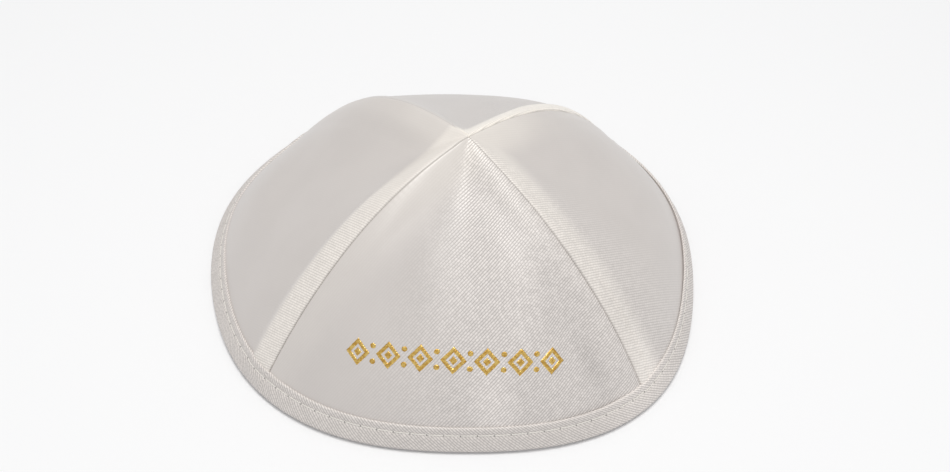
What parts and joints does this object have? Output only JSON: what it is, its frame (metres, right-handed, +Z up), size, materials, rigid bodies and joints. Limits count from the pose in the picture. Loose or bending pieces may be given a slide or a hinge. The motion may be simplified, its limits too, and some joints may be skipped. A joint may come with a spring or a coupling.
{
  "type": "kippah skullcap",
  "caption": "Shallow domed satin skullcap of sewn gores with pressed seams and a folded binding round its rim.",
  "frame": {"origin": "on the floor under the middle of the rim's plan box, where the cap stands on its binding", "axes": "+Z up through the crown, -Y towards the front panel, +X towards the right panel as seen from the front"},
  "size_m": [0.1908, 0.185, 0.0732],
  "materials": {
    "panel_satin": "white satin with a soft sheen",
    "binding_satin": "white satin tape, cut on the bias"
  },
  "bodies": {
    "root": {"panel_front": "panel_satin", "panel_right": "panel_satin", "panel_back": "panel_satin", "panel_left": "panel_satin", "rim_binding": "binding_satin"}
  },
  "joints": []
}
